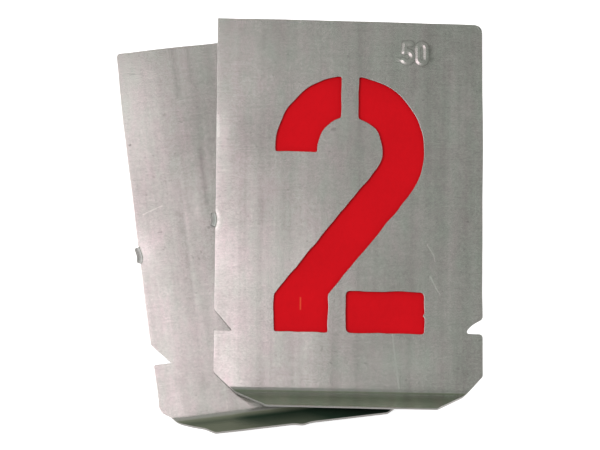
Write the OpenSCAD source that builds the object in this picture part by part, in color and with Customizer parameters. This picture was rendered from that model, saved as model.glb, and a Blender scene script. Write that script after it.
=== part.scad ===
// Pair of sheet-metal figure stencils, fanned over each other, with a red card between them.
// Each plate is one blank: cut figure, two baseline notches, cut corners, a bent grip lip along
// the bottom and a small bent lug on the left edge.
// Origin: under the middle of the front plate, on the surface that the rear plate lies on.
// +X points to the reader's right, +Y to the top of the figure, +Z up to the reader.

/* [Plate] */
// Thickness of the sheet metal
sheet_t = 0.4; // [0.3:0.05:0.6]
// Width of a plate
plate_w = 51.6; // [46:0.2:60]
// Height of a plate from its top edge to the fold of the lip
plate_h = 72; // [70:0.5:80]
// Inside radius of the lip's bend
lip_r = 0.6; // [0.4:0.1:1.2]
// Length of the lip beyond the fold
lip_l = 6.4; // [4:0.1:8]
// Angle that the lip is bent up by
lip_angle = 52; // [30:1:75]
// Leg of the 45 degree corner cuts, measured on the flat blank
corner_cut = 9.4; // [9:0.1:12]

/* [Baseline notches] */
// Depth of a notch from the side edge
notch_d = 3.4; // [2:0.1:5]
// Height of a notch above the baseline
notch_h = 4; // [2:0.1:6]

/* [Edge lug] */
// Width of the lug along the plate's edge
lug_w = 2.6; // [1.8:0.1:5]
// Length of the lug beyond its bend
lug_l = 0.7; // [0.5:0.1:2]
// Corner radius of the lug
lug_corner_r = 0.4; // [0.2:0.05:0.5]
// Inside radius of the lug's bend
lug_r = 0.3; // [0.2:0.1:0.8]
// Angle that the lug is bent up by
lug_angle = 50; // [30:1:75]
// Height of the lug's middle above the baseline
lug_rise = 21.3; // [15:0.1:40]

/* [Figures] */
// Height of a figure
figure_h = 50; // [46:0.5:52]
// Space from the plate's top edge to the figure
top_margin = 11; // [9:0.5:12]
// Width of the strokes
stroke_w = 8; // [6:0.1:9]
// Width of the 2
two_w = 28.8; // [26:0.2:32]
// Height of the upright foot of the 2, under its slanting stroke
foot_h = 7.2; // [5:0.1:9]
// How far the hook of the 2 reaches below the middle of its bow
hook_drop = 0.6; // [0:0.1:2]
// Bridge of sheet left across the bow of the 2
bow_bridge = 3.5; // [2:0.1:5]
// Bridge of sheet left between the foot and the base bar of the 2
base_bridge = 3.6; // [2:0.1:5]
// Corner radius of the base bar of the 2
bar_r = 0.5; // [0.2:0.1:1.5]
// Width of the 1 with its flag
one_w = 13; // [11:0.2:14]
// Slope of the flag of the 1
flag_angle = 45; // [35:1:50]

/* [Red card] */
// Width of the card
card_w = 40; // [34:0.5:44]
// Height of the card
card_h = 60; // [56:0.5:64]
// Thickness of the card
card_t = 0.4; // [0.25:0.05:0.8]

/* [Fanning] */
// Turn of the rear plate against the front plate
fan_angle = 7.8; // [4:0.1:12]
// Distance of the rear plate's middle to the left of the front plate's middle
fan_x = 14.9; // [10:0.1:18]
// Clearance between the two lips where they nest
lip_gap = 0.25; // [0.2:0.05:1]

/* [Hidden] */
$fn = 96;
metal = [0.68, 0.67, 0.64];
red = [0.79, 0.06, 0.10];
bend_steps = 10;                                 // steps that a bend is drawn in
past = 1;                                        // how far a cutter runs past what it cuts
lug_root = 1.5;                                  // how far the lug's strip reaches into the plate

half_w = plate_w / 2;
top_y = plate_h / 2;                             // top edge of a plate
fold_y = -plate_h / 2;                           // where the plate's face meets the lip's face
base_y = top_y - top_margin - figure_h;          // baseline of the figure
cut_start = corner_cut - lip_l;                  // where a corner cut leaves the side, above the fold

// How far before the fold a bend begins, and how far after it the bend ends
function setback(r, angle) = r * tan(angle / 2);
lip_setback = setback(lip_r, lip_angle);
bend_y = fold_y + lip_setback;

// Heights at which the card and the front plate lie
card_z = sheet_t;
front_z = card_z + card_t;

// The rear lip nests outside the front one, lip_gap away from it at its right end.
fold_half = half_w - cut_start;
fold_step = (lip_gap - card_t * cos(lip_angle)) / sin(lip_angle) + setback(sheet_t, lip_angle);
fan_y = fold_y - fold_step - fold_half * sin(fan_angle) - fold_y * cos(fan_angle);

// The 2: its bow is a ring, and its slanting stroke is tangent to that ring inside and out.
bow_r = two_w / 2;
bow_y = figure_h - bow_r;
inner_r = bow_r - stroke_w;
slant = atan2(bow_y - foot_h, bow_r) - asin(inner_r / norm([bow_r, bow_y - foot_h]));
foot_w = stroke_w / sin(slant);

// Figures, with the baseline on y = 0 and the middle on x = 0
module figure_two() {
    bow();
    slanting_stroke_and_foot();
    base_bar();
}

module bow() {
    reach = 2 * bow_r;
    difference() {
        translate([0, bow_y]) circle(r = bow_r);
        translate([0, bow_y]) circle(r = inner_r);
        translate([-bow_bridge / 2, bow_y]) square([bow_bridge, reach]);
        // What is below the hook's end and to the left of where the slanting stroke begins
        intersection() {
            translate([-reach, bow_y - hook_drop - reach]) square([2 * reach, reach]);
            translate([0, bow_y]) rotate(slant) translate([-reach, -reach]) square([reach, 2 * reach]);
        }
    }
}

module slanting_stroke_and_foot() {
    outward = [sin(slant), -cos(slant)];
    middle = [0, bow_y];
    polygon([
        middle + inner_r * outward,
        [-bow_r, foot_h],
        [-bow_r, 0],
        [-bow_r + foot_w, 0],
        [-bow_r + foot_w, foot_h],
        middle + bow_r * outward
    ]);
}

module base_bar() {
    bar_x = -bow_r + foot_w + base_bridge;
    bar_l = bow_r - bar_x;
    translate([bar_x + bar_r, 0]) square([bar_l - 2 * bar_r, stroke_w]);
    translate([bar_x, bar_r]) square([bar_l, stroke_w - 2 * bar_r]);
    for (x = [bar_x + bar_r, bow_r - bar_r], y = [bar_r, stroke_w - bar_r])
        translate([x, y]) circle(r = bar_r);
}

module figure_one() {
    right = one_w / 2;
    stem_left = right - stroke_w;
    shoulder = right - stroke_w / 2;
    flag_top = figure_h - (shoulder + right) * tan(flag_angle);
    flag_bottom = flag_top - stroke_w / cos(flag_angle);
    polygon([
        [stem_left, 0],
        [right, 0],
        [right, figure_h],
        [shoulder, figure_h],
        [-right, flag_top],
        [-right, flag_bottom],
        [stem_left, flag_bottom + (stem_left + right) * tan(flag_angle)]
    ]);
}

// Points on a bend's arc of radius r, about an axis at height axis_z over the bend's beginning
function arc_points(r, axis_z, angle) =
    [for (i = [0:bend_steps]) let(a = angle * i / bend_steps) [r * sin(a), axis_z - r * cos(a)]];

function reversed(list) = [for (i = [len(list) - 1:-1:0]) list[i]];

// Strip of sheet w wide that lies on z = 0 and is bent up at y = 0, towards -Y. Its side section is
// extruded: the underside out to the tip, and the upper side back.
module bent_strip(w, flat_l, r, angle, after_l) {
    axis_z = r + sheet_t;
    underside = arc_points(r + sheet_t, axis_z, angle);
    upside = arc_points(r, axis_z, angle);
    tip = after_l * [cos(angle), sin(angle)];
    rotate([90, 0, -90]) linear_extrude(w, center = true) polygon(concat(
        [[-flat_l, 0]],
        underside,
        [underside[bend_steps] + tip, upside[bend_steps] + tip],
        reversed(upside),
        [[-flat_l, sheet_t]]
    ));
}

// Turns what lies flat about the axis of such a bend.
module turned_about_bend(r, angle) {
    translate([0, 0, sheet_t + r]) rotate([-angle, 0, 0]) translate([0, 0, -sheet_t - r])
        children();
}

// A cutter through a sheet that lies on z = 0, with the given outline
module through_sheet() {
    translate([0, 0, -past]) linear_extrude(sheet_t + 2 * past) children();
}

// Outline of what lies outside a right-hand corner cut between two heights above the fold
module outside_corner_cut(high, low) {
    fold_end = half_w - cut_start;
    polygon([
        [fold_end + high, high],
        [half_w + past, high],
        [half_w + past, low],
        [fold_end + low, low]
    ]);
}

// The corner cut crosses the face, the bend and the lip, and is cut square to each of them.
module corner_cut_through() {
    half_chord = (lip_r + sheet_t / 2) * sin(lip_angle / 2);
    lap = sheet_t;
    translate([0, fold_y, 0]) through_sheet() outside_corner_cut(cut_start, -lap);
    translate([0, bend_y, 0]) {
        turned_about_bend(lip_r, lip_angle / 2)
            through_sheet() outside_corner_cut(half_chord + lap, -half_chord - lap);
        turned_about_bend(lip_r, lip_angle) translate([0, lip_setback, 0])
            through_sheet() outside_corner_cut(lap - lip_setback, -lip_l - past);
    }
}

// The notch's lower edge marks the baseline.
module notch() {
    slope = notch_h / notch_d;
    through_sheet() polygon([
        [half_w - notch_d, base_y],
        [half_w + past, base_y],
        [half_w + past, base_y + notch_h + past * slope]
    ]);
}

// Edge lug: a small tab with round corners, bent up like the lip
module lug() {
    translate([-half_w, base_y + lug_rise, 0]) rotate([0, 0, -90]) difference() {
        bent_strip(lug_w, lug_root, lug_r, lug_angle, lug_l);
        turned_about_bend(lug_r, lug_angle)
            for (side = [0, 1]) mirror([side, 0, 0])
                translate([lug_w / 2 - lug_corner_r, lug_corner_r - lug_l, 0])
                    through_sheet() outside_corner(lug_corner_r);
    }
}

// Outline of what lies outside a right-hand lower corner rounded about the origin
module outside_corner(r) {
    difference() {
        translate([0, -r - past]) square(r + past);
        circle(r = r);
    }
}

// A whole plate, with the figure that is given to it cut out
module plate() {
    difference() {
        union() {
            translate([0, bend_y, 0])
                bent_strip(plate_w, top_y - bend_y, lip_r, lip_angle, lip_l - lip_setback);
            lug();
        }
        for (side = [0, 1]) mirror([side, 0, 0]) {
            corner_cut_through();
            notch();
        }
        translate([0, base_y, 0]) through_sheet() children();
    }
}

module rear_plate() {
    color(metal) translate([-fan_x, fan_y, 0]) rotate([0, 0, fan_angle]) plate() figure_one();
}

// The card is centred on the figure.
module red_card() {
    color(red) translate([-card_w / 2, base_y + (figure_h - card_h) / 2, card_z])
        cube([card_w, card_h, card_t]);
}

module front_plate() {
    color(metal) translate([0, 0, front_z]) plate() figure_two();
}

rear_plate();
red_card();
front_plate();
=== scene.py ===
import math
import bpy
import numpy as np
from mathutils import Matrix, Vector
from mathutils.geometry import delaunay_2d_cdt


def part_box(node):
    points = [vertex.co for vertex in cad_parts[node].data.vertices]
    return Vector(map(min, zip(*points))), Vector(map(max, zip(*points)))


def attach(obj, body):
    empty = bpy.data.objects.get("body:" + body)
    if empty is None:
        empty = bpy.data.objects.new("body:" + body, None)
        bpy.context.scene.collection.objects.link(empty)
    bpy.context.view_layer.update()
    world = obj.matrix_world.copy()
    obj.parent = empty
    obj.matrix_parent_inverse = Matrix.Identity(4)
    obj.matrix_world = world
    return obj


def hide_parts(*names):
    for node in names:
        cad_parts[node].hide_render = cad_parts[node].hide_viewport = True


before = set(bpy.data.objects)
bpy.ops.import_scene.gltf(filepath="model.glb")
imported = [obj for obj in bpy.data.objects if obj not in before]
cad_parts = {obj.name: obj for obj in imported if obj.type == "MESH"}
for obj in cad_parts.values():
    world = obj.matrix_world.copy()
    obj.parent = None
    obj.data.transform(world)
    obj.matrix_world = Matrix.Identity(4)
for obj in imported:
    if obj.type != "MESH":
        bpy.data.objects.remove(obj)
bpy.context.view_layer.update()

mm = 0.001
print("frame loaded, nodes:", sorted(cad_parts))

# The blank of both plates, in mm. Sheet coordinates, before anything is bent: a to the right, b up the
# plate, h from the underside through the sheet.
sheet = {
    "thickness": 0.4,
    "halfWidth": 25.8,
    "topEdge": 36.0,
    "lipAngle": 57.0,
    "cornerCut": 9.4,  # how far the corner cut runs in from the side
    "sideEnd": -33.0,  # where it leaves the side
    "baseline": -25.0,
    "notchDepth": 3.4,
    "notchHeight": 4.0,
    "lugMiddle": -3.7,
    "lugHalf": 1.3,
    "lugLength": 0.7,
    "lugAngle": 50.0,
    "lugRadius": 0.3,
    "lugRoom": 0.25,  # above and below the lug, bends with it
    # How far each kind of corner is cut back by its rounding
    "rounds": {"corner": 0.3, "lugRoot": 0.12, "lug": 0.4, "notchMouth": 0.1, "notch": 0.05},
    "edgeSoftness": 0.11,  # of the outline, from the wear of the die
    "edgeWave": 1.6,  # length of the unevenness of the outline
    "cutWave": 0.9,  # and of the figure
    "waveFade": 4.5,  # past the bend's start, where the waves of the sheet end
    "waveDrift": 0.03,  # most that a wave's phase turns, per mm up the plate
    "foldShadeReach": 1.6,  # reach of the painted shade on each side of the fold
}

# How the mesh of a plate is made, in mm
mesh = {
    "edgeStep": 0.16,  # between points along a cut edge
    "cornerPoints": 9,  # on a rounded corner, before they are spaced evenly
    "gridStep": 1.1,  # between points on the open face
    "fineStep": 0.13,  # round the lug
    "numberFiner": 0.7,  # times that, in the stamped number
    "lugPatch": (1.2, 2.0),  # how far the fine points reach in from the side, and up and down
    "numberPatch": 0.6,  # how far they reach round the number
    "support": 0.3,  # row of points beside each cut edge, so that the face shades flat
    "clear": (1.6, 0.9, 0.55),  # times support: the grid, that row and the others stay off the edges
    "gridApart": 0.3,  # times gridStep: the grid stays off the other points
    "bendRows": 9,
    "bendStep": 0.8,  # between points across the bend
    "chunk": 800,  # points that are compared with all edges at once
    "apart": 1e-7,  # points nearer than this would be one
}

# Section through a punched edge, from the face round to the underside: distance in from the cut, and
# height as a share of the sheet. The punch draws the upper edge round.
punchedEdge = np.array([
    (0.08, 1), (0.065, 1), (0.04, 0.986), (0.02, 0.955), (0.007, 0.91), (0, 0.84),
    (0, 0.45), (0.006, 0.12), (0.022, 0.03), (0.06, 0), (0.075, 0),
])


# Length of sheet that a bend uses up, along the middle of the sheet.
def bendAllowance(radius, angle):
    return (radius + sheet["thickness"] / 2) * math.radians(angle)


# Where the lip's bend starts and ends along the blank.
def lipBend(plate):
    return plate["bendStart"], plate["bendStart"] - bendAllowance(plate["lipRadius"], sheet["lipAngle"])


lugReach = bendAllowance(sheet["lugRadius"], sheet["lugAngle"]) + sheet["lugLength"]


# Outlines

# Points on a circle about centre, from the start to the end angle in degrees.
def arc(centre, radius, start, end, step=0.2):
    count = max(3, int(abs(math.radians(end - start)) * radius / step))
    angle = np.radians(np.linspace(start, end, count))
    return np.array(centre) + radius * np.stack([np.cos(angle), np.sin(angle)], axis=1)


# Each corner (x, y, cut) becomes the curve (1-t)^2 P + 2t(1-t) C + t^2 Q between the points P and Q
# that lie cut away from the corner C along its two sides.
def roundedCorners(corners):
    points = np.array([c[:2] for c in corners], float)
    before = np.roll(points, 1, axis=0) - points
    after = np.roll(points, -1, axis=0) - points
    t = np.linspace(0, 1, mesh["cornerPoints"])[:, None]
    pieces = []
    for corner, back, ahead, (_, _, cut) in zip(points, before, after, corners):
        p = corner + cut * back / np.linalg.norm(back)
        q = corner + cut * ahead / np.linalg.norm(ahead)
        curve = (1 - t) ** 2 * p + 2 * t * (1 - t) * corner + t ** 2 * q
        pieces.append(curve if cut else corner[None])
    return np.concatenate(pieces)


# The closed loop with points a step apart along it.
def evenly(loop, step):
    closed = np.vstack([loop, loop[:1]])
    along = np.concatenate([[0], np.cumsum(np.linalg.norm(np.diff(closed, axis=0), axis=1))])
    at = np.linspace(0, along[-1], int(along[-1] / step), endpoint=False)
    return np.stack([np.interp(at, along, closed[:, 0]), np.interp(at, along, closed[:, 1])], axis=1)


# Convolution of values round a closed loop with a Gaussian of that width.
def blurred(values, step, width):
    frequency = np.fft.fftfreq(len(values), step)
    keep = np.exp(-2 * (np.pi * frequency * width) ** 2)
    return np.fft.ifft(np.fft.fft(values) * keep)


# Unit normals to the left of the direction of travel, where the metal is.
def metalSide(loop):
    along = np.roll(loop, -1, axis=0) - np.roll(loop, 1, axis=0)
    along /= np.linalg.norm(along, axis=1)[:, None]
    return np.stack([-along[:, 1], along[:, 0]], axis=1)


# A cut as it comes out of the die: corners softened by a Gaussian, and each point moved along the
# normal by smooth noise. The metal is on the left: holes run clockwise.
def cutLoop(corners, isHole, softness, wobble, wobbleLength, draw):
    step = mesh["edgeStep"]
    loop = evenly(np.asarray(corners, float), step)
    x, y = loop.T
    clockwise = np.sum(x * np.roll(y, -1) - np.roll(x, -1) * y) < 0
    if clockwise != isHole:
        loop = loop[::-1]
    smooth = blurred(loop[:, 0] + 1j * loop[:, 1], step, softness)
    loop = np.stack([smooth.real, smooth.imag], axis=1)
    noise = blurred(draw.normal(size=len(loop)), step, wobbleLength).real
    noise *= wobble / noise.std()
    return loop + noise[:, None] * metalSide(loop)


# Moves the loop near a place along its normal by depth times a Gaussian of the distance.
def pushedIn(loop, place, depth, reach):
    distance = np.linalg.norm(loop - np.array(place), axis=1)
    return loop + (depth * np.exp(-(distance / reach) ** 2))[:, None] * metalSide(loop)


# Corners of the blank, counter-clockwise from the lower right corner of the lip.
def blankOutline(plate):
    w, top, base, tip = sheet["halfWidth"], sheet["topEdge"], sheet["baseline"], plate["lipTip"]
    tipHalf, sideEnd = w - sheet["cornerCut"], sheet["sideEnd"]
    lugTop, lugFoot = sheet["lugMiddle"] + sheet["lugHalf"], sheet["lugMiddle"] - sheet["lugHalf"]
    corner, root, lug, mouth, notch = sheet["rounds"].values()
    (leftIn, leftUp), (rightIn, rightUp) = plate["lipEnds"]
    return roundedCorners([
        (tipHalf - rightIn, tip + rightUp, corner),
        (w, sideEnd, corner),
        *[(w - inward, base + above, cut) for inward, above, cut in plate["rightNotch"]],
        (w, top, plate["topRight"]),
        (-w, top, plate["topLeft"]),
        (-w, lugTop, root),
        (-w - lugReach, lugTop, lug),
        (-w - lugReach, lugFoot, lug),
        (-w, lugFoot, root),
        (-w, base + sheet["notchHeight"], mouth),
        (-w + sheet["notchDepth"], base, notch),
        (-w, base, mouth),
        (-w, sideEnd, corner),
        (-tipHalf + leftIn, tip + leftUp, corner),
    ])


# The 2: a bow that is a ring, a slanting stroke tangent to it, a foot and a base bar, mm
figureTwo = {
    "bowRadius": 14.4,
    "stroke": 8.0,
    "height": 50.0,
    "footHeight": 7.2,
    "hookDrop": 0.6,
    "bowBridge": 3.5,
    "baseBridge": 3.6,
    "barCorner": 0.75,
    "barToe": 0.375,  # its lower right corner
}


# Three cut-outs: the hook, the bow with its slanting stroke and foot, and the base bar.
def twoOutlines():
    f = figureTwo
    base, outer = sheet["baseline"], f["bowRadius"]
    inner = outer - f["stroke"]
    bowY = base + f["height"] - outer
    half = f["bowBridge"] / 2
    footTop = base + f["footHeight"]
    toFoot = bowY - footTop
    slant = math.atan2(toFoot, outer) - math.asin(inner / math.hypot(outer, toFoot))
    footRight = -outer + f["stroke"] / math.sin(slant)
    tangent = math.degrees(slant) - 90
    hookEnd = [180 + math.degrees(math.asin(f["hookDrop"] / r)) for r in (outer, inner)]
    bridge = [math.degrees(math.acos(half / r)) for r in (outer, inner)]
    hook = np.vstack([
        arc((0, bowY), outer, 180 - bridge[0], hookEnd[0]),
        arc((0, bowY), inner, hookEnd[1], 180 - bridge[1]),
    ])
    stroke = np.vstack([
        arc((0, bowY), outer, bridge[0], tangent),
        [(footRight, footTop), (footRight, base), (-outer, base), (-outer, footTop)],
        arc((0, bowY), inner, tangent, bridge[1]),
    ])
    barLeft, c = footRight + f["baseBridge"], f["barCorner"]
    barTop = base + f["stroke"]
    bar = roundedCorners([
        (barLeft, base, c),
        (outer, base, f["barToe"]),
        (outer, barTop, c),
        (barLeft, barTop, c),
    ])
    return [hook, stroke, bar]


# The 1 of the rear plate, mm
figureOne = {
    "width": 13.0,
    "height": 50.0,
    "stroke": 8.0,
    "flagAngle": 45.0,
}


# One cut-out: an upright stem with a flag that slopes down to the left.
def oneOutlines():
    f = figureOne
    base, right = sheet["baseline"], f["width"] / 2
    left, shoulder = right - f["stroke"], right - f["stroke"] / 2
    slope = math.tan(math.radians(f["flagAngle"]))
    top = base + f["height"]
    flagTop = top - (shoulder + right) * slope
    flagBottom = flagTop - f["stroke"] / math.cos(math.radians(f["flagAngle"]))
    return [np.array([
        (left, base),
        (right, base),
        (right, top),
        (shoulder, top),
        (-right, flagTop),
        (-right, flagBottom),
        (left, flagBottom + (left + right) * slope),
    ])]


# Stamped size in mm: plain numbers, strokes raised from behind
stampedNumber = {
    "left": 10.35,
    "foot": 28.05,  # b of the numbers' foot
    "height": 3.75,
    "width": 1.62,
    "space": 1.15,
    "strokeHalf": 0.60,
    "raise": 0.10,  # in the middle of a stroke, falling evenly to nothing at its side
    "footShade": -0.55,  # painted shade along the foot of the strokes
    "footShadeWidth": 0.13,
    "near": 1.0,  # how far round the number the sheet is looked at
    "arcStep": 0.25,
    "bar": (0.16, 0.93),  # ends of the 5's bar, as shares of its width
    "neck": (0.08, 0.56),  # lower end of its upright, as shares of its width and height
    "bowl": (0.42, 0.31),  # middle of its bowl
    "bowlRadius": 0.92,  # as a share of that middle's height
    "bowlSweep": (118, -138),
}


# The stamped number's box with a margin round it: left, right, low and high.
def numberBox(margin):
    n = stampedNumber
    right, high = n["left"] + 2 * n["width"] + n["space"], n["foot"] + n["height"]
    return n["left"] - margin, right + margin, n["foot"] - margin, high + margin


# Centre lines of a 5 and a 0, as a list of polylines.
def numberStrokes():
    n = stampedNumber
    w, h, left, foot, step = n["width"], n["height"], n["left"], n["foot"], n["arcStep"]
    (barLeft, barRight), (neckLeft, neckFoot) = n["bar"], n["neck"]
    bowlX, bowlY = w * n["bowl"][0], h * n["bowl"][1]
    five = np.vstack([
        [(w * barRight, h), (w * barLeft, h), (w * neckLeft, h * neckFoot)],
        arc((bowlX, bowlY), bowlY * n["bowlRadius"], *n["bowlSweep"], step),
    ])
    r = w / 2
    zero = np.vstack([
        arc((r, h - r), r, 0, 180, step),
        arc((r, r), r, 180, 360, step),
        [(w, h - r)],
    ])
    return [five + (left, foot), zero + (left + w + n["space"], foot)]


# Least distance from each point to any segment of the polylines.
def distanceToLines(points, lines):
    best = np.full(len(points), np.inf)
    for line in lines:
        start, run = line[:-1], np.diff(line, axis=0)
        offset = points[:, None] - start
        share = np.clip(np.sum(offset * run, axis=2) / np.sum(run ** 2, axis=1), 0, 1)
        gap = np.linalg.norm(offset - share[..., None] * run, axis=2)
        best = np.minimum(best, gap.min(axis=1))
    return best


# 3t^2 - 2t^3, where t goes from 0 at low to 1 at high.
def smoothStep(low, high, x):
    t = np.clip((x - low) / (high - low), 0, 1)
    return t * t * (3 - 2 * t)


# Triangles between the loops

# Distance from each point to the nearest loop point, and whether the point lies in the metal: a ray
# to the right crosses the loops an odd number of times.
def nearestAndInside(points, loops):
    start = np.vstack(loops)
    end = np.vstack([np.roll(loop, -1, axis=0) for loop in loops])
    nearest, inside = [], []
    for part in np.array_split(points, max(1, len(points) // mesh["chunk"])):
        x, y = part[:, :1], part[:, 1:]
        spans = (start[:, 1] > y) != (end[:, 1] > y)
        rise = np.where(end[:, 1] == start[:, 1], 1, end[:, 1] - start[:, 1])
        crossing = start[:, 0] + (y - start[:, 1]) / rise * (end[:, 0] - start[:, 0])
        inside.append(np.sum(spans & (crossing > x), axis=1) % 2 == 1)
        nearest.append(np.sqrt(((start[:, 0] - x) ** 2 + (start[:, 1] - y) ** 2).min(axis=1)))
    return np.concatenate(nearest), np.concatenate(inside)


# Rows of points a step apart, every other row shifted by half a step.
def gridPoints(left, right, low, high, step):
    rows = np.arange(low, high, step * math.sqrt(3) / 2)
    columns = np.arange(left, right, step)
    x, y = np.meshgrid(columns, rows)
    x = x + (np.arange(len(rows)) % 2)[:, None] * step / 2
    return np.stack([x.ravel(), y.ravel()], axis=1)


# Constrained Delaunay triangles of the metal between the loops, through the free points as well. The
# points come back in the order loops, free.
def trianglesBetween(loops, free):
    counts = [len(loop) for loop in loops]
    starts = np.cumsum([0] + counts[:-1])
    edges = np.vstack([
        np.stack([s + np.arange(n), s + (np.arange(n) + 1) % n], axis=1) for s, n in zip(starts, counts)
    ])
    points = np.vstack([*loops, free])
    found = delaunay_2d_cdt(points.tolist(), edges.tolist(), [], 0, mesh["apart"])
    if len(found[0]) != len(points):
        raise RuntimeError("two cut edges of a plate cross or touch")
    triangles = np.array(found[2])
    _, inside = nearestAndInside(points[triangles].mean(axis=1), loops)
    triangles = triangles[inside]
    p, q, r = points[triangles].transpose(1, 0, 2)
    area = (q - p)[:, 0] * (r - p)[:, 1] - (q - p)[:, 1] * (r - p)[:, 0]
    triangles[area < 0] = triangles[area < 0][:, ::-1]
    return triangles


# Sheet coordinates, faces and the distance in from the cut, for a sheet cut along the loops. The
# section is carried along each loop, and triangles close the face and the underside.
def sheetMesh(loops, free, thickness, section):
    rows = len(section)
    points, inset, hole, quads, topRows, bottomRows = [], [], [], [], [], []
    start = 0
    for number, loop in enumerate(loops):
        n = len(loop)
        normal = metalSide(loop)
        ring = loop[None] + section[:, :1, None] * normal[None]
        heights = np.broadcast_to(section[:, 1:] * thickness, (rows, n))
        points.append(np.concatenate([ring, heights[..., None]], axis=2).reshape(-1, 3))
        inset.append(np.broadcast_to(section[:, :1], (rows, n)).ravel())
        hole.append(np.full(rows * n, float(number > 0)))
        k, i = np.meshgrid(np.arange(rows - 1), np.arange(n), indexing="ij")
        j = (i + 1) % n
        quad = np.stack([k * n + i, (k + 1) * n + i, (k + 1) * n + j, k * n + j], axis=-1)
        quads.append(start + quad.reshape(-1, 4))
        topRows.append(start + np.arange(n))
        bottomRows.append(start + (rows - 1) * n + np.arange(n))
        start += rows * n
    rim = np.vstack(points)
    faces = []
    for ends, height, flip in ((topRows, thickness, 1), (bottomRows, 0.0, -1)):
        edgeLoops = [rim[row, :2] for row in ends]
        triangles = trianglesBetween(edgeLoops, free)
        index = np.concatenate([*ends, start + np.arange(len(free))])
        points.append(np.column_stack([free, np.full(len(free), height)]))
        inset.append(np.full(len(free), 1.0))
        hole.append(np.zeros(len(free)))
        faces.append(index[triangles][:, ::flip])
        start += len(free)
    return np.vstack(points), np.vstack(quads), np.vstack(faces), np.concatenate(inset), np.concatenate(hole)


# Free points of a face, clear of the cuts: a grid, a row beside each cut, and the extra ones.
def facePoints(loops, extra):
    step, support = mesh["gridStep"], mesh["support"]
    both = np.vstack(loops)
    (left, low), (right, high) = both.min(axis=0), both.max(axis=0)
    grid = gridPoints(left, right, low, high, step)
    beside = np.vstack([(loop + support * metalSide(loop))[::2] for loop in loops])
    kept = []
    for points, clear in zip((grid, beside, extra), mesh["clear"]):
        nearest, inside = nearestAndInside(points, loops)
        kept.append(points[inside & (nearest > support * clear)])
    grid, beside, extra = kept
    apart = np.concatenate([
        np.sqrt(((part[:, None] - extra) ** 2).sum(axis=2).min(axis=1, initial=np.inf))
        for part in np.array_split(grid, max(1, len(grid) // mesh["chunk"]))
    ])
    return np.vstack([grid[apart > step * mesh["gridApart"]], beside, extra])


# Bending

# Unevenness of rolled sheet: a bow across the plate, bow * (rise - (a/w)^2), and waves along it, a sum
# of sines in a whose phase drifts with b.
def rolledWaves(a, b, plate):
    drifts = sheet["waveDrift"]
    draw = np.random.default_rng(plate["seed"])
    height = plate["bow"] * (plate["bowRise"] - (a / sheet["halfWidth"]) ** 2)
    for length, depth in plate["waves"]:
        phase, drift = draw.uniform(0, 2 * np.pi), draw.uniform(-drifts, drifts)
        height = height + depth * np.sin(2 * np.pi * a / length + phase + drift * b)
    return height


# Which points lie near the stamped number, and their distances to its centre lines.
def distanceToNumber(a, b):
    left, right, low, high = numberBox(stampedNumber["near"])
    near = (a > left) & (a < right) & (b > low) & (b < high)
    return near, distanceToLines(np.stack([a[near], b[near]], axis=1), numberStrokes())


# A round or long spot on the sheet: exp(-((a - placeA) / reachA)^2 - ((b - placeB) / reachB)^2).
def spot(a, b, placeA, placeB, reachA, reachB):
    return np.exp(-((a - placeA) / reachA) ** 2 - ((b - placeB) / reachB) ** 2)


# How far out and up a point comes that lies run past a bend's start: along an arc about the bend's
# axis, and then straight.
def pastBend(run, height, radius, angle):
    full, outer = math.radians(angle), radius + sheet["thickness"]
    middle = radius + sheet["thickness"] / 2
    turn = np.clip(run / middle, 0, full)
    straight = np.maximum(run - middle * full, 0)
    arm = outer - height
    out = arm * np.sin(turn) + straight * np.cos(turn)
    up = outer - arm * np.cos(turn) + straight * np.sin(turn)
    return out, up


# Plate coordinates of sheet coordinates. Waves, number and dents lift the sheet. The lip is bent up along
# -b, and the lug along -a, from a line that bulges into the plate by 1 - u^2 over the lug's width.
def bent(coords, plate):
    a, b, h = coords.T
    start, _ = lipBend(plate)
    lift = rolledWaves(a, b, plate) * (1 - smoothStep(0, sheet["waveFade"], start - b))
    if plate["number"]:
        near, distance = distanceToNumber(a, b)
        lift[near] += stampedNumber["raise"] * np.clip(1 - distance / stampedNumber["strokeHalf"], 0, 1)
    for *where, dent in plate["dents"]:
        lift = lift + dent * spot(a, b, *where)
    height = h + lift
    lip = b < start
    out, up = pastBend(np.maximum(start - b, 0), height, plate["lipRadius"], sheet["lipAngle"])
    y, z = np.where(lip, start - out, b), np.where(lip, up, height)
    lugReaches = sheet["lugHalf"] + sheet["lugRoom"]
    u = (b - sheet["lugMiddle"]) / lugReaches
    bulge = plate["lugBulge"] * np.clip(1 - u ** 2, 0, 1) * (1 - plate["lugSkew"] * u)
    lugStart = -sheet["halfWidth"] + bulge
    lug = (a < lugStart) & (abs(b - sheet["lugMiddle"]) < lugReaches)
    out, up = pastBend(np.maximum(lugStart - a, 0), height, sheet["lugRadius"], sheet["lugAngle"])
    return np.stack([np.where(lug, lugStart - out, a), y, np.where(lug, up, z)], axis=1)


# Duller and brighter places, partly patina and partly painted light and shade: a sum of strength * spot, and
# a Gaussian of painted shade along the foot of the number's strokes.
def patinaAndPaintedLightAt(coords, plate):
    a, b = coords[:, 0], coords[:, 1]
    total = np.zeros(len(coords))
    for *where, strength in plate["patinaAndPaintedLight"]:
        total += strength * spot(a, b, *where)
    if plate["number"]:
        n = stampedNumber
        near, distance = distanceToNumber(a, b)
        total[near] += n["footShade"] * np.exp(-((distance - n["strokeHalf"]) / n["footShadeWidth"]) ** 2)
    return total
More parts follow.
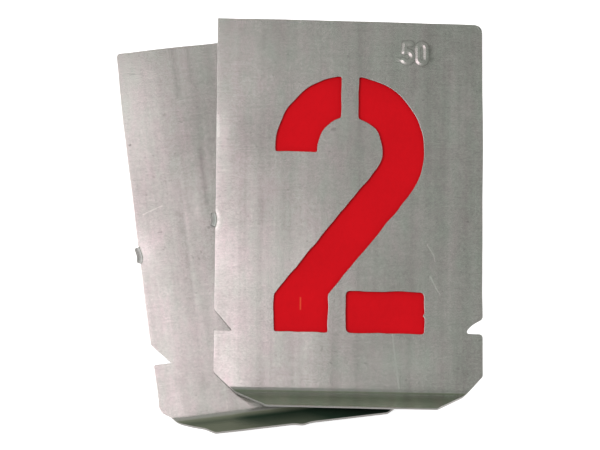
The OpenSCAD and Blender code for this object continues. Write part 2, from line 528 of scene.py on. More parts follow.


# Painted shade: a darker line in the fold, the fold's strength * exp(-((b - end) / its reach)^2), and on a
# shaded lip an amount that rises with a from the least to 1, later and less towards the tip, and then by 1
# more.
def paintedShadeAt(coords, plate):
    a, b = coords[:, 0], coords[:, 1]
    start, end = lipBend(plate)
    inFold = plate["foldShade"] * np.exp(-((b - end) / sheet["foldShadeReach"]) ** 2)
    layer = plate["lipShade"]
    if not layer:
        return inFold
    onLip = 1 - smoothStep(end, start, b)
    out = np.clip((end - b) / (end - plate["lipTip"]), 0, 1)
    deep = smoothStep(*layer["deep"], a)
    spread = smoothStep(*layer["darkening"], a - layer["lean"] * out) * (1 - layer["fading"] * out) + deep
    return np.maximum(np.maximum(spread, layer["least"]) * onLip, inFold)


# Meshes

# An object in the scene, at the origin.
def newObject(name, data):
    made = bpy.data.objects.new(name, data)
    bpy.context.scene.collection.objects.link(made)
    return made


# A mesh object from points in metres, quads and triangles, with its point attributes.
def makePiece(name, place, quads, triangles, attributes):
    data = bpy.data.meshes.new(name)
    data.from_pydata(place.tolist(), [], quads.tolist() + triangles.tolist())
    data.shade_smooth()
    for label, values in attributes.items():
        kind, field = ("FLOAT_VECTOR", "vector") if values.ndim == 2 else ("FLOAT", "value")
        layer = data.attributes.new(label, kind, "POINT")
        layer.data.foreach_set(field, values.astype(np.float32).ravel())
    data.validate()
    print(name, "has", len(quads) * 2 + len(triangles), "triangles")
    return newObject(name, data)


# The plate's own outline and its cut-outs, as the die cut them.
def plateLoops(plate, figure):
    draw = np.random.default_rng(plate["seed"])
    outline = cutLoop(blankOutline(plate), False, sheet["edgeSoftness"], plate["edgeWobble"],
                      sheet["edgeWave"], draw)
    softness, wobble = plate["cutSoftness"], plate["cutWobble"]
    holes = [cutLoop(part, True, softness, wobble, sheet["cutWave"], draw) for part in figure]
    holes = [hole + plate["clearance"] * metalSide(hole) for hole in holes]
    for *place, depth, reach in plate["nicks"]:
        outline = pushedIn(outline, place, depth, reach)
        holes = [pushedIn(hole, place, depth, reach) for hole in holes]
    return [outline, *holes]


# Free points: the open grid, rows across the bend, and fine grids where the sheet is shaped.
def platePoints(plate, loops):
    w, middle, fine = sheet["halfWidth"], sheet["lugMiddle"], mesh["fineStep"]
    rows = np.linspace(*lipBend(plate), mesh["bendRows"])
    across = np.arange(-w, w, mesh["bendStep"])
    inward, around = mesh["lugPatch"]
    extra = [
        np.stack([m.ravel() for m in np.meshgrid(across, rows)], axis=1),
        gridPoints(-w - lugReach, -w + inward, middle - around, middle + around, fine),
    ]
    if plate["number"]:
        extra.append(gridPoints(*numberBox(mesh["numberPatch"]), fine * mesh["numberFiner"]))
    return facePoints(loops, np.vstack(extra))


# A stamped plate: cut, bent and laid where the frame has it.
def makePlate(name, plate, figure, matrix):
    loops = plateLoops(plate, figure)
    coords, quads, triangles, inset, hole = sheetMesh(
        loops, platePoints(plate, loops), sheet["thickness"], punchedEdge)
    place = bent(coords, plate) @ np.array(matrix.to_3x3()).T + np.array(matrix.translation)
    return makePiece(name, place * mm, quads, triangles, {
        "sheet": coords,
        "inset": inset,
        "hole": hole,
        # patina, and painted light and shade in places
        "patinaAndPaintedLight": patinaAndPaintedLightAt(coords, plate),
        # amount of painted shade on the lip and in the fold
        "paintedShade": paintedShadeAt(coords, plate),
    })


# The front plate
frontPlate = {
    "seed": 11,
    "bendStart": -35.68,
    "lipRadius": 1.8,  # inside the bend
    "lipTip": -42.71,
    "number": True,  # whether the size is stamped into it
    "bow": 0.40,  # of the middle over the side edges
    "bowRise": 0.70,  # share of it above the flat, which keeps it clear of the card below
    "waves": [(23.0, 0.020), (13.0, 0.010), (7.5, 0.004)],  # length and height
    "lugBulge": 0.28,  # of the lug's bend line into the plate
    "lugSkew": 0.0,
    "edgeWobble": 0.012,
    "cutWobble": 0.055,
    "cutSoftness": 0.27,
    "clearance": 0.05,  # that the cut is wider than the figure, all round
    # strength of the painted shade in the fold
    "foldShade": 0.08,
    "lipShade": None,  # no painted shade on the lip
    "lipEnds": ((0.35, 0.40), (-0.12, 0.12)),  # how far in and up its left and right corners lie
    "topRight": 1.75,  # rounding of the corner
    "topLeft": 0.05,
    "rightNotch": [  # in from the side, above the baseline, rounding
        (0, 0.2, 0.75), (3.06, 0.24, 0.25), (3.06, 0.84, 0.35), (1.94, 1.97, 0.7), (0, 3.1, 0.5),
    ],
    "nicks": [  # a, b, how far the edge is pushed in, reach
        (14.4, -21.5, -0.36, 0.36), (25.8, 12.5, -0.13, 8), (25.8, -15.5, 0.08, 4),
        (22.8, -36.2, -0.14, 3.2), (-26.9, -3.7, 0.3, 1),
    ],
    "dents": [  # a, b, reach along a, reach along b, lift
        (25.2, 35.2, 1.1, 1.1, -0.1), (-20.2, -34.9, 3, 0.7, 0.025),
    ],
    "patinaAndPaintedLight": [  # a, b, reach along a, reach along b, how much brighter; partly patina, partly painted light and shade: the lip lighter towards its tip and to the left, darker to the right, and the lug darker
        (-19, 13.5, 6, 7, -0.38), (-21, 0, 5, 8, -0.2), (-11.5, -12, 5.5, 6.5, 0.3),
        (9.5, -2, 3.5, 8, 0.15), (13.5, -19, 3.5, 6, 0.08), (11, -31, 7, 4.5, 0.42),
        (0.5, -29, 1.5, 6, -0.16), (22, 31, 6, 6, -0.2), (-24, -20, 5, 20, -0.22), (0, -42.7, 60, 1.8, 0.4),
        (-14, -40.2, 7, 3, 0.35), (15, -40.2, 8, 4, -0.3), (-27, -3.7, 0.9, 2.4, -0.6),
        (-25.3, 14, 2.6, 4, 0.3), (-1, 13, 5, 7, -0.08), (10, -8.6, 3, 4, 0.1), (22, -31, 5, 6, -0.12),
        (-24.8, -9.5, 2.5, 5, 0.16), (-26.05, -3.7, 0.42, 1.5, -0.5), (-7.6, 6, 3, 4, -0.1),
    ],
}

# The rear plate, turned and moved so that its lip nests outside the front one
rearPlate = {
    "turn": 7.8,
    "seed": 29,
    "bendStart": -35.2,
    "lipRadius": 2.3,
    "lipTip": -42.65,
    "number": False,
    "bow": 0.0,
    "bowRise": 0.0,
    "waves": [(19.0, 0.008), (9.0, 0.004)],
    "lugBulge": 0.32,
    "lugSkew": 0.7,  # the bend runs deeper into the plate at its lower end
    "edgeWobble": 0.018,
    "cutWobble": 0.04,
    "cutSoftness": 0.45,
    "clearance": 0.0,
    # painted shade: a dark line in the fold, and on the lip, darkest to the right where the front lip lies
    # over it
    "foldShade": 0.62,
    "lipShade": {
        "least": 0.34,  # over the whole lip
        "darkening": (-18.5, -8.5),  # a where the painted shade starts to get darker, and where it is full
        "lean": 4.5,  # how much further right this is at the tip
        "fading": 0.38,  # share that it loses out to the tip
        "deep": (0.0, 16.0),  # a where it starts to turn black, and where it is
    },
    "lipEnds": ((0.25, 0.45), (-0.25, 0.25)),
    "topRight": 0.1,
    "topLeft": 0.9,
    "rightNotch": [(0, 0, 0.1), (3.4, 0, 0.05), (0, 4, 0.1)],
    "nicks": [
        (0.4, -42.7, -0.75, 1.2), (-18.6, -40.6, 0.45, 1.8), (-24.8, -34, -0.55, 1.3),
        (-23, -36.6, -0.45, 1.6), (-25.8, 22, -0.24, 12), (-25.8, 0, -0.24, 12), (-25.8, -16, -0.2, 8),
        (-27.2, -3.9, 0.25, 1), (-25, 36, 0.15, 6),
    ],
    "dents": [(-20, -34.9, 3, 0.7, 0.03)],
    # a, b, reach along a, reach along b, how much brighter; partly patina, partly painted light and shade:
    # the lug darker, and a bright patch in the shade beside the front lip's corner
    "patinaAndPaintedLight": [
        (-22.5, 30, 8, 9, 0.36), (-25.5, 30, 2.4, 8, 0.38), (-24.5, 20, 3, 6, 0.12),
        (-12, 18, 5, 14, -0.33), (-14, -5, 9, 9, -0.16), (-22.3, 7, 4, 6, -0.2), (-25.2, -3, 2, 3.5, 0.35),
        (-15.5, -30, 5, 4, -0.1), (-9.1, -33.9, 1.8, 1.2, 0.45), (-27, -3.7, 0.8, 2.4, -1.1),
        (-26.05, -3.7, 0.42, 1.5, -0.7),
    ],
}


# The front plate lies square; its lowest point in the frame is its underside.
def frontPlace():
    low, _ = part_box("front_plate")
    return Matrix.Translation((0, 0, low.z / mm))


# The rear plate's middle, worked back from its box: its top right corner reaches furthest up, and the
# lower end of its right side furthest to the right.
def rearPlace():
    low, high = (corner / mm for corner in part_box("rear_plate"))
    turn = math.radians(rearPlate["turn"])
    w = sheet["halfWidth"]
    x = high.x - (w * math.cos(turn) - sheet["sideEnd"] * math.sin(turn))
    y = high.y - (w * math.sin(turn) + sheet["topEdge"] * math.cos(turn))
    return Matrix.Translation((x, y, low.z)) @ Matrix.Rotation(turn, 4, "Z")


front = makePlate("frontPlate", frontPlate, twoOutlines(), frontPlace())
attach(front, "front_stencil")
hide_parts("front_plate")

rear = makePlate("rearPlate", rearPlate, oneOutlines(), rearPlace())
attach(rear, "rear_stencil")
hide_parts("rear_plate")
print("plates cut and bent")

# The red card between the plates
redCard = {
    "corner": 1.4,
    "softness": 0.12,
    "wobble": 0.02,
    "wave": 1.5,  # length of the wobble
    "clearance": 0.02,  # left to the plates above and below
    "seed": 5,
}
cardEdge = np.array([  # section through the cut card
    (0.09, 1), (0.045, 0.97), (0.012, 0.86), (0, 0.5), (0.012, 0.14), (0.045, 0.03), (0.09, 0),
])


# A cut card with its corners rounded, in the space that the frame keeps for it.
def makeCard():
    c = redCard
    low, high = (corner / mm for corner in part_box("red_card"))
    corners = [(low.x, low.y), (high.x, low.y), (high.x, high.y), (low.x, high.y)]
    draw = np.random.default_rng(c["seed"])
    outline = roundedCorners([(x, y, c["corner"]) for x, y in corners])
    loops = [cutLoop(outline, False, c["softness"], c["wobble"], c["wave"], draw)]
    thickness = high.z - low.z - 2 * c["clearance"]
    coords, quads, triangles, inset, _ = sheetMesh(
        loops, facePoints(loops, np.zeros((0, 2))), thickness, cardEdge)
    place = coords + (0, 0, low.z + c["clearance"])
    return makePiece("redCard", place * mm, quads, triangles, {"sheet": coords, "inset": inset})


card = makeCard()
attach(card, "card")
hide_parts("red_card")
print("card cut")


# Node helpers

# Sets or links a node's inputs, by name or number.
def fill(tree, node, values):
    for key, value in values.items():
        if isinstance(value, bpy.types.NodeSocket):
            tree.links.new(value, node.inputs[key])
        else:
            node.inputs[key].default_value = value
    return node


# A new shader node with its settings and its inputs.
def add(tree, kind, values=None, **settings):
    node = tree.nodes.new("ShaderNode" + kind)
    for key, value in settings.items():
        setattr(node, key, value)
    return fill(tree, node, values or {})


# A shader node group with named sockets: its tree, what it is given, and its end node.
def newGroup(name, inputs, outputs):
    tree = bpy.data.node_groups.new(name, "ShaderNodeTree")
    for socket, kind in inputs.items():
        tree.interface.new_socket(socket, in_out="INPUT", socket_type="NodeSocket" + kind)
    for socket in outputs:
        tree.interface.new_socket(socket, in_out="OUTPUT", socket_type="NodeSocketFloat")
    return tree, tree.nodes.new("NodeGroupInput").outputs, tree.nodes.new("NodeGroupOutput")


# A material with its tree and its shader.
def newMaterial(name):
    material = bpy.data.materials.new(name)
    material.use_nodes = True
    return material, material.node_tree, material.node_tree.nodes["Principled BSDF"]


def attribute(tree, name, output="Fac"):
    return add(tree, "Attribute", attribute_name=name).outputs[output]


def arithmetic(tree, operation, first, second=0.0, third=0.0, clamp=False):
    values = {0: first, 1: second, 2: third}
    return add(tree, "Math", values, operation=operation, use_clamp=clamp).outputs[0]


def vectorMath(tree, operation, values):
    return add(tree, "VectorMath", values, operation=operation).outputs


def ranged(tree, value, fromLow, fromHigh, toLow=0.0, toHigh=1.0, **settings):
    spans = {"From Min": fromLow, "From Max": fromHigh, "To Min": toLow, "To Max": toHigh}
    return add(tree, "MapRange", {"Value": value, **spans}, **settings).outputs[0]


# Two colours, each a socket or (r, g, b), mixed by a factor. The node takes them at 6 and 7.
def mixed(tree, factor, first, second, blend="MIX"):
    first, second = (c if isinstance(c, bpy.types.NodeSocket) else (*c, 1.0) for c in (first, second))
    values = {"Factor": factor, 6: first, 7: second}
    return add(tree, "Mix", values, data_type="RGBA", blend_type=blend).outputs[2]


# Noise on sheet coordinates, stretched by a scale for each axis and shifted off the other noises.
def stretchedNoise(tree, vector, scale, detail, rough, shift):
    at = add(tree, "Mapping", {"Vector": vector, "Scale": scale, "Location": shift}).outputs[0]
    values = {"Vector": at, "Scale": 1.0, "Detail": detail, "Roughness": rough}
    return add(tree, "TexNoise", values).outputs["Fac"]


noiseSpan = (0.25, 0.75)  # nearly all of a noise lies in it
rolledParts = ("Streaks", "Lines", "Clouds", "Mottle", "Grain", "Specks")
rolledNoises = {  # scale per mm, detail, roughness, shift
    "Broad": ((0.42, 0.014, 0.4), 2.0, 0.5, (3.1, 0, 0)),  # streaks
    "Narrow": ((1.9, 0.03, 0.4), 2.0, 0.6, (8.6, 2.0, 0.0)),  # streaks too
    "Lines": ((0.16, 2.4, 1.0), 3.0, 0.6, (0.0, 7.7, 0.0)),
    "Clouds": ((0.07, 0.055, 0.1), 3.0, 0.5, (0.0, 0.0, 9.3)),
    "Mottle": ((0.55, 0.42, 0.5), 3.0, 0.6, (1.7, 4.4, 0.0)),
    "Tint": ((0.36, 0.15, 0.5), 3.0, 0.6, (9.2, 6.1, 3.0)),
    "Grain": ((2.1, 3.6, 1.0), 2.0, 0.7, (5.0, 2.0, 0.0)),
    "Specks": ((1.0, 1.2, 1.0), 1.0, 0.5, (2.6, 8.8, 1.0)),
}
rolledLevels = {
    "Narrow": 0.45,  # share of the narrow streaks beside the broad ones
    "Specks": (0.72, 0.80),
    "Tint": (0.3, 0.7),
    "Height": {"Broad": 0.8, "Lines": 0.2, "Grain": 0.12},  # shares
}


# Tone of rolled sheet: 1 plus each part times its share, with a tint and a height. Streaks up the plate,
# lines across it, clouds, mottling and grain go from -1 to 1, and specks from 0 down to -1.
def makeRolledTone():
    inputs = {"Vector": "Vector", **dict.fromkeys(rolledParts, "Float")}
    tree, given, end = newGroup("rolledTone", inputs, ("Tone", "Tint", "Height"))
    level = rolledLevels

    def noise(part):
        return stretchedNoise(tree, given["Vector"], *rolledNoises[part])

    even = {part: ranged(tree, noise(part), *noiseSpan, -1, 1)
            for part in ("Broad", "Narrow", "Lines", "Clouds", "Mottle", "Grain")}
    even["Streaks"] = arithmetic(tree, "MULTIPLY_ADD", even["Narrow"], level["Narrow"], even["Broad"])
    even["Specks"] = ranged(tree, noise("Specks"), *level["Specks"], 0, -1)
    tone, height = 1.0, 0.0
    for part in rolledParts:
        tone = arithmetic(tree, "MULTIPLY_ADD", even[part], given[part], tone)
    for part, share in level["Height"].items():
        height = arithmetic(tree, "MULTIPLY_ADD", even[part], share, height)
    tint = ranged(tree, noise("Tint"), *level["Tint"])
    fill(tree, end, {"Tone": tone, "Tint": tint, "Height": height})
    return tree


# Mask of one straight line, a scratch or a painted glint: 1 on the line from From to To, fading over Width.
def makeScratch():
    inputs = {"Vector": "Vector", "From": "Vector", "To": "Vector", "Width": "Float"}
    tree, given, end = newGroup("scratch", inputs, ("Mask",))
    offset = vectorMath(tree, "SUBTRACT", {0: given["Vector"], 1: given["From"]})[0]
    run = vectorMath(tree, "SUBTRACT", {0: given["To"], 1: given["From"]})[0]
    onRun = vectorMath(tree, "DOT_PRODUCT", {0: offset, 1: run})["Value"]
    wholeRun = vectorMath(tree, "DOT_PRODUCT", {0: run, 1: run})["Value"]
    share = arithmetic(tree, "DIVIDE", onRun, wholeRun, clamp=True)
    foot = vectorMath(tree, "SCALE", {0: run, "Scale": share})[0]
    gap = vectorMath(tree, "DISTANCE", {0: offset, 1: foot})["Value"]
    away = arithmetic(tree, "DIVIDE", gap, given["Width"])
    fill(tree, end, {"Mask": arithmetic(tree, "SUBTRACT", 1.0, away, clamp=True)})
    return tree


rolledTone = makeRolledTone()
scratch = makeScratch()


# Sheet coordinates without their height, for marks that go through the sheet.
def flattened(tree, at):
    return vectorMath(tree, "MULTIPLY", {0: at, 1: (1.0, 1.0, 0.0)})[0]


def scratchMask(tree, plane, ends, width):
    values = {"Vector": plane, "From": (*ends[:2], 0.0), "To": (*ends[2:], 0.0), "Width": width}
    return add(tree, "Group", values, node_tree=scratch).outputs["Mask"]


# Lightness of the sheet: the rolled tone, whose contrast grows across the plate, plus duller and brighter
# places, partly patina and partly painted light and shade, scratches, painted glints and streaks, and a
# painted highlight along the cut edges.
def metalShade(tree, look, at, across, inset, tone):
    marks, plane = attribute(tree, "patinaAndPaintedLight"), flattened(tree, at)
    for *ends, width, strength in look["scratchesAndGlints"] + look["streakMarks"]:
        marks = arithmetic(tree, "MULTIPLY_ADD", scratchMask(tree, plane, ends, width), strength, marks)
    # painted highlight along the cut edges
    rim = ranged(tree, inset, *look["highlightInset"], 1.0, 0.0)
    lighter = arithmetic(tree, "MULTIPLY_ADD", rim, look["rim"], marks)
    contrast = ranged(tree, across, *look["contrast"])
    rolled = arithmetic(tree, "MULTIPLY", arithmetic(tree, "SUBTRACT", tone, 1.0), contrast)
    amount = arithmetic(tree, "ADD", arithmetic(tree, "ADD", rolled, 1.0), lighter)
    return ranged(tree, amount, *look["toneSpan"])


# Dark to light metal times a cool or warm tint, painted shade over it on the lip and in the fold, and the
# cut edges, with painted shade tinted red on the walls of the cut-outs.
def metalColour(tree, look, shade, tint, paintedShade, edge):
    metal = mixed(tree, shade, look["dark"], look["light"])
    metal = mixed(tree, 1.0, metal, mixed(tree, tint, look["cool"], look["warm"]), "MULTIPLY")
    # painted shade: pale, full and deepest colour by its amount, hiding the metal as it grows
    shadeColour = mixed(tree, ranged(tree, paintedShade, *look["paintedShadeSpan"]), look["palePaintedShade"], look["paintedShade"])
    shadeColour = mixed(tree, ranged(tree, paintedShade, *look["deepPaintedShadeSpan"]), shadeColour, look["deepPaintedShade"])
    cover = arithmetic(tree, "MULTIPLY", paintedShade, look["paintedShadeCover"], clamp=True)
    # the walls of the cut-outs get painted shade, tinted red by the card
    sheared = mixed(tree, attribute(tree, "hole"), look["cut"], look["paintedHoleShade"])
    return mixed(tree, edge, mixed(tree, cover, metal, shadeColour), sheared)


# Smoother where the face is light, and on the lip by a share of its own; dull where it is cut or under the
# painted shade.
def metalRoughness(tree, look, plate, shade, along, paintedShade, edge):
    rough, swing = look["roughness"], look["roughnessSwing"]
    start, end = lipBend(plate)
    face = ranged(tree, shade, 0.0, 1.0, rough + swing, rough - swing)
    smooth = arithmetic(tree, "MULTIPLY", face, ranged(tree, along, end, start, look["lipRoughness"], 1.0))
    dull = arithmetic(tree, "MAXIMUM", edge, paintedShade, clamp=True)
    return arithmetic(tree, "MAXIMUM", smooth, arithmetic(tree, "MULTIPLY", dull, look["cutRoughness"]))


# Bare rolled sheet: its tone on a metal, with a painted highlight along its cut edges, scratches and painted
# glints, painted shade on the lip and in the fold, and a fine bump.
def makeMetal(name, look, plate):
    material, tree, shader = newMaterial(name)
    at = attribute(tree, "sheet", "Vector")
    across, along, _ = add(tree, "SeparateXYZ", {0: at}).outputs
    # the amount of painted shade on the lip and in the fold
    inset, paintedShade = attribute(tree, "inset"), attribute(tree, "paintedShade")
    shifted = add(tree, "Mapping", {"Vector": at, "Location": look["shift"]}).outputs[0]
    rolled = add(tree, "Group", {"Vector": shifted, **look["rolled"]}, node_tree=rolledTone).outputs
    shade = metalShade(tree, look, at, across, inset, rolled["Tone"])
    edge = ranged(tree, inset, *look["cutInset"], 1.0, 0.0)
    bump = add(tree, "Bump", {"Height": rolled["Height"], "Distance": look["bump"] * mm})
    fill(tree, shader, {
        "Base Color": metalColour(tree, look, shade, rolled["Tint"], paintedShade, edge),
        "Metallic": ranged(tree, paintedShade, *look["metallic"]),
        "Specular IOR Level": ranged(tree, paintedShade, *look["specular"]),
        "Roughness": metalRoughness(tree, look, plate, shade, along, paintedShade, edge),
        "Normal": bump.outputs[0],
    })
    return material


frontMetal = {
    "dark": (0.40, 0.392, 0.375),
    "light": (1.0, 0.985, 0.965),
    "toneSpan": (0.2, 1.5),
    "cool": (0.94, 1.0, 0.975),
    "warm": (1.0, 0.955, 0.985),
    "roughness": 0.228,
    "roughnessSwing": 0.03,  # more where it is dark, and less where it is light
    "lipRoughness": 0.6,  # times as rough as the face
    # How strongly each part of the rolled tone shows
    "rolled": {"Streaks": 0.09, "Lines": 0.06, "Clouds": 0.08, "Mottle": 0.08, "Grain": 0.18, "Specks": 0.3},
    # painted highlight along every cut edge: how much brighter, and the inset over which it fades
    "rim": 0.16,
    "highlightInset": (0.0, 0.6),
    "cut": (0.36, 0.352, 0.336),  # sheared edge: duller and rougher than the face
    "paintedHoleShade": (0.10, 0.02, 0.02),  # painted shade on the walls of the cut-outs, tinted red by the card below
    "cutRoughness": 0.5,
    "cutInset": (0.0, 0.05),
    # colours of the painted shade on the lip and in the fold: pale, full and deepest
    "palePaintedShade": (0.17, 0.19, 0.135),
    "paintedShade": (0.024, 0.048, 0.030),
    "deepPaintedShade": (0.006, 0.010, 0.007),
    "paintedShadeSpan": (0.36, 1.0),  # amounts of painted shade from its pale colour to its full one
    "deepPaintedShadeSpan": (1.0, 1.8),  # and on to its deepest colour
    "paintedShadeCover": 3.0,  # times the amount of painted shade hides the metal
    "metallic": (0.05, 0.32, 1.0, 0.1),  # two amounts of painted shade, and the values there
    "specular": (0.5, 1.0, 0.5, 0.1),
    "contrast": (-26.0, 26.0, 0.85, 1.4),  # of the rolled tone: left and right edge, and the values there
    "bump": 0.003,
    "shift": (0, 0, 0),
    "scratchesAndGlints": [  # from a, b, to a, b, width, how much brighter; some are painted glints and highlights: at the top right corner, beside the lug and along the left edge
        (8.3, -25, 9, -31, 0.15, 0.85), (9, -31, 9.6, -35.6, 0.2, 1.1),
        (11.6, -35.8, 13.1, -34.5, 0.13, 0.18), (15, -7.7, 16.3, -9.8, 0.14, 0.85),
        (16.3, -9.8, 16.5, -11, 0.14, 0.7), (15.6, -13.9, 16.9, -16.4, 0.17, 1.3),
        (16.9, -16.4, 17.6, -17.4, 0.13, 0.6), (17.6, -5.7, 18.1, -5.8, 0.12, 0.3),
        (11.5, -37.3, 11.5, -37.4, 0.14, 0.9), (-3.5, 14.5, -2.9, 14.5, 0.45, -0.5),
        (-0.5, 28.8, -0.4, 29, 0.35, -0.3), (-25.6, 16.8, -25.5, 12.9, 0.45, 0.45),
        (24.8, 35.6, 25.2, 35, 0.14, 1), (25, 35.7, 25.5, 35, 0.12, -1),
        (-25.6, -1.9, -25.2, -3.1, 0.6, 0.5), (-25.2, -4.1, -25.62, -5.3, 0.6, 0.5),
        (-25.75, 34, -25.75, -30, 0.8, 0.22),
    ],
    "streakMarks": [  # the plainest streaks up the plate
        (1.6, -36, 2, 36, 1.5, -0.17), (-2.8, -25.5, -2.8, -36, 0.9, -0.14), (12, -17, 12.3, 2, 1.2, -0.18),
        (14.8, -2, 15.2, 36, 1.2, -0.15), (12.3, 22, 12.4, 36, 1, -0.18), (19.4, -36, 19.9, 30, 1.4, 0.12),
        (22.6, -36, 23.2, 17, 1.2, -0.1), (-16.8, -36, -16.7, 36, 1.2, -0.09),
        (-17, 0.5, -17, -4, 1, -0.18), (3.9, -9, 3.8, -36, 1, 0.11), (-14.4, 9, -14.4, -9, 1, 0.08),
        (-11, 10, -11.1, -9, 0.8, -0.07), (-7.6, 10, -8.1, -9, 0.8, -0.07),
        (11.6, -26, 11.6, -36, 0.9, -0.13), (8.7, 25, 8.7, 36, 0.9, -0.1), (-7.2, 25, -7.2, 36, 0.8, -0.08),
    ],
}
rearMetal = {
    **frontMetal,
    "shift": (61.0, 37.0, 5.0),
    # some of these are painted highlights, such as the line along the left edge
    "scratchesAndGlints": [
        (-24.4, 4.1, -20.6, 5.4, 0.12, 0.4), (-25.3, 17.8, -25.2, 17.9, 0.28, -0.9),
        (-24.2, 31.8, -22.6, 31.6, 0.14, -0.45), (-18.2, 23, -17.8, 23, 0.32, -0.35),
        (-13.4, 27.4, -7.6, 27.4, 0.1, 0.16), (-16.8, 22.3, -10.4, 22.6, 0.1, 0.16),
        (-15, 25.6, -9, 26.3, 0.09, -0.14), (-26, 33, -26, -20, 0.8, 0.22),
    ],
    "streakMarks": [
        (-14.9, 36, -14.9, 26.5, 0.9, -0.28), (-12, 36, -12.1, 29, 0.8, -0.2),
        (-12, 15.5, -12.1, 5, 0.7, -0.2), (-10.7, 20, -10.9, 7.5, 1, 0.15),
        (-16.3, 3.5, -16.2, -15, 0.6, 0.1), (-17.5, 3.6, -17.5, -0.5, 0.9, -0.13),
        (-14.9, -14, -14.9, -22, 0.9, -0.12), (-16.9, 3, -16.9, -35, 0.8, -0.06),
        (-21.5, 36, -21.5, 5, 0.8, -0.06), (-13.9, 7, -13.9, 2.5, 0.9, 0.16),
        (-21.5, -28.5, -21.5, -29.5, 1.6, -0.12), (-16.7, -28.5, -16.7, -29.5, 1.4, -0.15),
    ],
    "lipRoughness": 1.0,
}
front.data.materials.append(makeMetal("frontPlateMetal", frontMetal, frontPlate))
rear.data.materials.append(makeMetal("rearPlateMetal", rearMetal, rearPlate))

redPaper = {
    "colour": (0.61, 0.0048, 0.0105),
    "core": (0.62, 0.20, 0.17),  # shows at the cut edge
    "coreInset": (0.0, 0.08),
    "coreShare": 0.5,
    "worn": (0.85, 0.16, 0.06),
    "scratch": (-9.3, -18.4, -9.3, -20.6),
    "scratchWidth": 0.22,
    "scratchShare": 0.5,
    "fibres": ((1.4, 0.9, 1.0), 4.0, 0.65, (0, 0, 0)),
    "fibreContrast": 0.04,
    "cloud": ((0.08, 0.1, 0.1), 2.0, 0.5, (4.0, 0, 0)),
    "cloudSpan": (0.95, 1.05),
    "roughness": 0.55,
    "specular": 0.06,
    "bump": 0.02,
}


# Dyed card: faint fibres in colour and bump, faint clouds, a scratch, and a paler cut edge.
def makePaper():
    p = redPaper
    material, tree, shader = newMaterial("redCardPaper")
    at = attribute(tree, "sheet", "Vector")
    fibres = stretchedNoise(tree, at, *p["fibres"])
    cloud = ranged(tree, stretchedNoise(tree, at, *p["cloud"]), *noiseSpan, *p["cloudSpan"])
    even = ranged(tree, fibres, *noiseSpan, -1, 1)
    light = arithmetic(tree, "MULTIPLY_ADD", even, p["fibreContrast"], cloud)
    red = vectorMath(tree, "SCALE", {0: p["colour"], "Scale": light})[0]
    mark = scratchMask(tree, flattened(tree, at), p["scratch"], p["scratchWidth"])
    marked = mixed(tree, arithmetic(tree, "MULTIPLY", mark, p["scratchShare"]), red, p["worn"])
    edge = ranged(tree, attribute(tree, "inset"), *p["coreInset"], p["coreShare"], 0.0)
    bump = add(tree, "Bump", {"Height": fibres, "Distance": p["bump"] * mm})
    fill(tree, shader, {
        "Base Color": mixed(tree, edge, marked, p["core"]),
        "Roughness": p["roughness"],
        "Specular IOR Level": p["specular"],
        "Normal": bump.outputs[0],
    })
    return material


card.data.materials.append(makePaper())
print("materials made")

# Camera: where the photograph was taken from, worked out from the plates' corners in it
view = {
    "eye": (-61.46, -117.58, 638.32),  # mm
    "right": (0.99655, 0.007885, 0.082627),
    "up": (-0.02215, 0.98464, 0.17318),
    "lens": 203.1,
    "sensor": 36.0,
    "reach": 10.0,  # metres that it sees
}


# Looks down its own -Z, with the unit vectors right and up across the picture.
def makeCamera():
    data = bpy.data.cameras.new("camera")
    data.lens, data.sensor_width, data.clip_end = view["lens"], view["sensor"], view["reach"]
    camera = newObject("camera", data)
    right, up = Vector(view["right"]).normalized(), Vector(view["up"]).normalized()
    turn = Matrix((right, up, right.cross(up))).transposed()
    camera.matrix_world = Matrix.Translation(Vector(view["eye"]) * mm) @ turn.to_4x4()
    bpy.context.scene.camera = camera


makeCamera()

# A white table top, and the room that the metal mirrors
studio = {
    "floorSize": 3.0,
    "floorHeight": -0.02,  # mm, under the waves of the rear plate
    "floorColour": (0.85, 0.85, 0.85),
    "floorGlow": 0.75,  # lifts the lit floor to white in the camera's eye
    "ceiling": (0.285, 0.297, 0.27),
    "ceilingFrom": (0.55, 0.80),  # upward share of a direction where it begins and is full
    "wall": (0.175, 0.201, 0.145),  # behind the top of the figure
    "wallFrom": (0.50, 0.82),
    "wallFoot": (0.135, 0.162, 0.115),
    "footFrom": (0.50, 0.15),  # upward share where the wall's foot begins and is full
    "backdrop": (1.0, 1.0, 1.0),
    "fill": (0.50, 0.50, 0.50),  # even light on all that isn't a mirror
}
lamps = {  # in metres: place, target, size, then power, colour, and whether the metal mirrors it
    "overheadLeft": ((-0.35, -0.045, 0.8), (-0.35, -0.045, 0), (0.7, 0.45), 1.33, (1, 0.842, 0.885), True),
    "keyLeft": ((-0.42, -0.06, 0.66), (0, 0, 0), (0.25, 0.25), 2.6, (1, 0.97, 0.95), False),
}


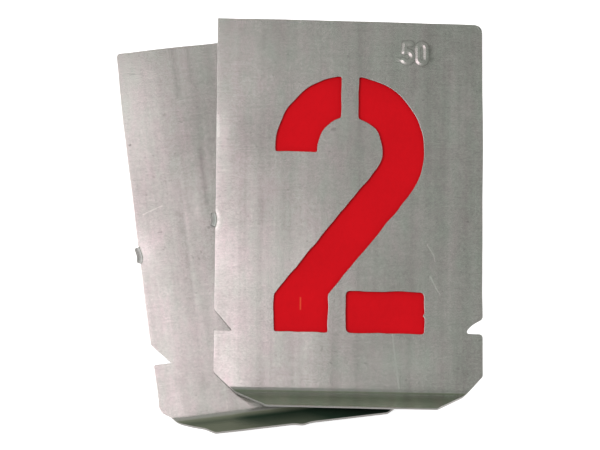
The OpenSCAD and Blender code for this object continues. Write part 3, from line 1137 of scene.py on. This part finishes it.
# A white table top: white to the camera and in reflections, it keeps the shadow, and from below it is
# clear, so that the underside can be seen.
def makeFloor():
    half, low = studio["floorSize"] / 2, studio["floorHeight"] * mm
    data = bpy.data.meshes.new("floor")
    corners = [(-half, -half, low), (half, -half, low), (half, half, low), (-half, half, low)]
    data.from_pydata(corners, [], [(0, 1, 2, 3)])
    floor = newObject("floor", data)
    material, tree, shader = newMaterial("floorPaper")
    tree.nodes.remove(shader)
    path = add(tree, "LightPath").outputs
    seen = arithmetic(tree, "MAXIMUM", path["Is Camera Ray"], path["Is Glossy Ray"])
    seen = arithmetic(tree, "MAXIMUM", seen, path["Is Transmission Ray"])
    strength = arithmetic(tree, "MULTIPLY", seen, studio["floorGlow"])
    diffuse = add(tree, "BsdfDiffuse", {"Color": (*studio["floorColour"], 1.0)})
    glow = add(tree, "Emission", {"Strength": strength})
    both = add(tree, "AddShader", {0: diffuse.outputs[0], 1: glow.outputs[0]})
    below = add(tree, "NewGeometry").outputs["Backfacing"]
    clear = add(tree, "BsdfTransparent")
    surface = add(tree, "MixShader", {0: below, 1: both.outputs[0], 2: clear.outputs[0]})
    fill(tree, tree.nodes["Material Output"], {"Surface": surface.outputs[0]})
    data.materials.append(material)


# White behind the object, even light on it, and in the metal a pale room with a dim ceiling and one
# dark wall.
def makeWorld():
    world = bpy.data.worlds.new("studio")
    bpy.context.scene.world = world
    world.use_nodes = True
    tree = world.node_tree
    path = add(tree, "LightPath").outputs
    sky = add(tree, "TexCoord").outputs["Generated"]
    way = add(tree, "SeparateXYZ", {0: sky}).outputs

    def beyond(axis, span):
        return ranged(tree, way[axis], *span, interpolation_type="SMOOTHSTEP")

    wall = mixed(tree, beyond("Z", studio["footFrom"]), studio["wall"], studio["wallFoot"])
    room = mixed(tree, beyond("Y", studio["wallFrom"]), studio["backdrop"], wall)
    room = mixed(tree, beyond("Z", studio["ceilingFrom"]), room, studio["ceiling"])
    light = mixed(tree, path["Is Glossy Ray"], studio["fill"], room)
    through = arithmetic(tree, "MAXIMUM", path["Is Camera Ray"], path["Is Transmission Ray"])
    fill(tree, tree.nodes["Background"], {"Color": mixed(tree, through, light, studio["backdrop"])})


# A soft box at its place, turned to its target.
def makeLamp(name, place, target, size, power, colour, mirrored):
    data = bpy.data.lights.new(name, "AREA")
    data.shape = "RECTANGLE"
    data.size, data.size_y = size
    data.energy, data.color = power, colour
    lamp = newObject(name, data)
    lamp.visible_glossy = mirrored
    turn = (Vector(target) - Vector(place)).to_track_quat("-Z", "Y")
    lamp.matrix_world = Matrix.Translation(place) @ turn.to_matrix().to_4x4()


makeFloor()
makeWorld()
for name, lamp in lamps.items():
    makeLamp(name, *lamp)
bpy.context.scene.view_settings.view_transform = "Standard"
print("studio set")
